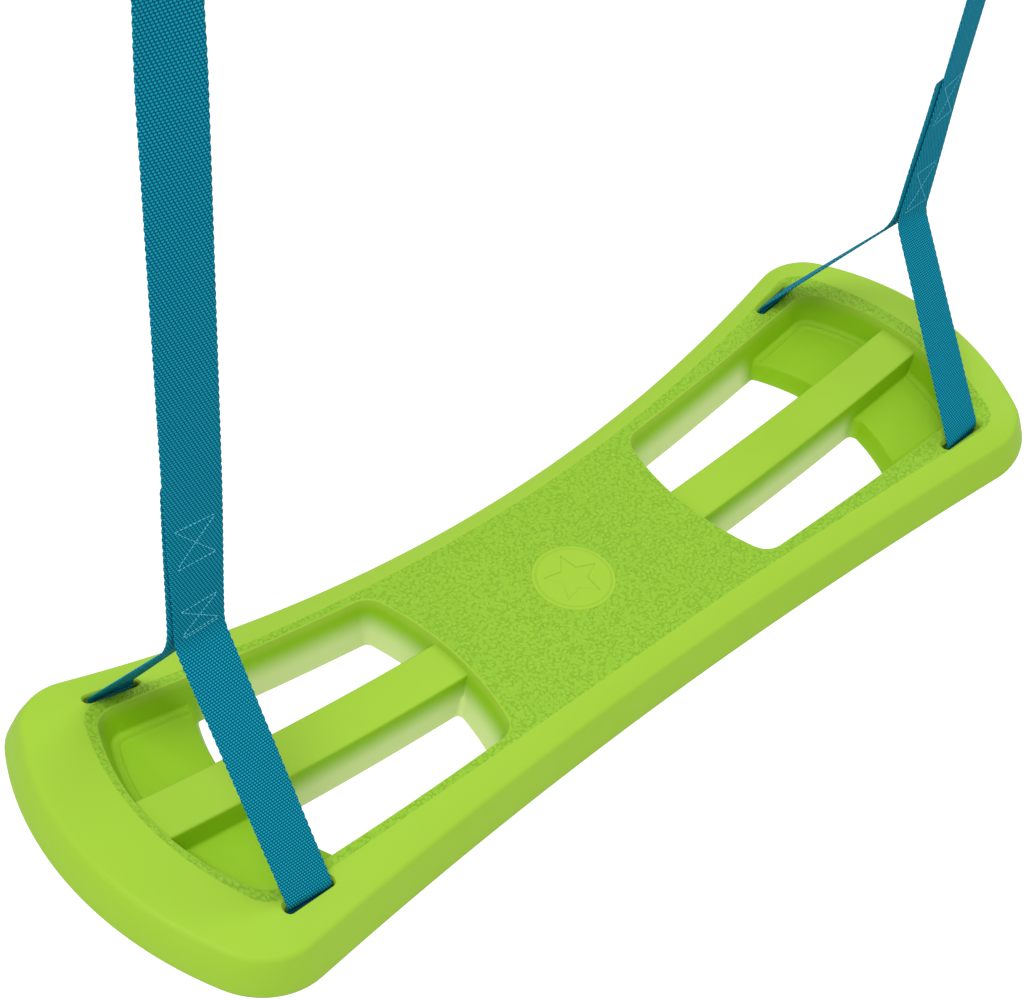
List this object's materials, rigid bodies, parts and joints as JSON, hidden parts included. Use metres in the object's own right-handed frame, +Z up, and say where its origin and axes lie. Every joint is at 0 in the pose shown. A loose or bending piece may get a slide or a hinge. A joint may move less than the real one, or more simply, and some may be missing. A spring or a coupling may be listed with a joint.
{
  "type": "board swing",
  "caption": "Hollow hourglass platform swing that curves up at both ends, on two webbing bridles that pass through its slots and clip to snap hooks.",
  "frame": {"origin": "on the hanging line, midway between the highest inner points of the two snap hooks", "axes": "+Z up, +X along the board towards its far end, -Y the board's front long edge"},
  "size_m": [0.9842, 0.319, 0.9274],
  "materials": {
    "board": "satin",
    "webbing": "matte",
    "thread": "matte",
    "steel": "polished"
  },
  "bodies": {
    "hangers": {"near_hook_body": "steel", "near_hook_pin": "steel", "far_hook_body": "steel", "far_hook_pin": "steel"},
    "near_gate": {"near_hook_gate": "steel"},
    "far_gate": {"far_hook_gate": "steel"},
    "rings": {"near_d_ring": "steel", "far_d_ring": "steel"},
    "near_bridle": {"near_strap_main": "webbing", "near_strap_tail": "webbing", "near_stitch_lower": "thread", "near_stitch_upper": "thread", "near_stitch_eye": "thread"},
    "far_bridle": {"far_strap_main": "webbing", "far_strap_tail": "webbing", "far_stitch_lower": "thread", "far_stitch_upper": "thread", "far_stitch_eye": "thread"},
    "deck": {"board": "board", "near_strap_under_board": "webbing", "far_strap_under_board": "webbing"}
  },
  "joints": [
    {"name": "near_gate_hinge", "type": "hinge", "parent": "hangers", "child": "near_gate", "pos_m": [-0.3775, -0.013, -0.0385], "axis": [-1, 0, 0], "range_deg": [0, 25], "stiffness_Nm_per_rad": 0.02, "springref_deg": -8.59},
    {"name": "far_gate_hinge", "type": "hinge", "parent": "hangers", "child": "far_gate", "pos_m": [0.3775, -0.013, -0.0385], "axis": [-1, 0, 0], "range_deg": [0, 25], "stiffness_Nm_per_rad": 0.02, "springref_deg": -8.59},
    {"name": "swing", "type": "hinge", "parent": "hangers", "child": "rings", "pos_m": [0, 0, -0.0487], "axis": [1, 0, 0], "range_deg": [-60, 60]},
    {"name": "sway_near", "type": "hinge", "parent": "rings", "child": "near_bridle", "pos_m": [-0.3775, 0, -0.0907], "axis": [0, 1, 0], "range_deg": [-8, 8]},
    {"name": "board_level", "type": "hinge", "parent": "near_bridle", "child": "deck", "pos_m": [-0.3775, 0, -0.84378], "axis": [0, 1, 0], "range_deg": [-8, 8]},
    {"name": "sway_far", "type": "hinge", "parent": "rings", "child": "far_bridle", "pos_m": [0.3775, 0, -0.0907], "axis": [0, 1, 0], "range_deg": [-8, 8]}
  ],
  "couplings": [
    {"joint": "board_level", "follows": "sway_near", "ratio": -1},
    {"joint": "sway_far", "follows": "sway_near", "ratio": 1}
  ]
}
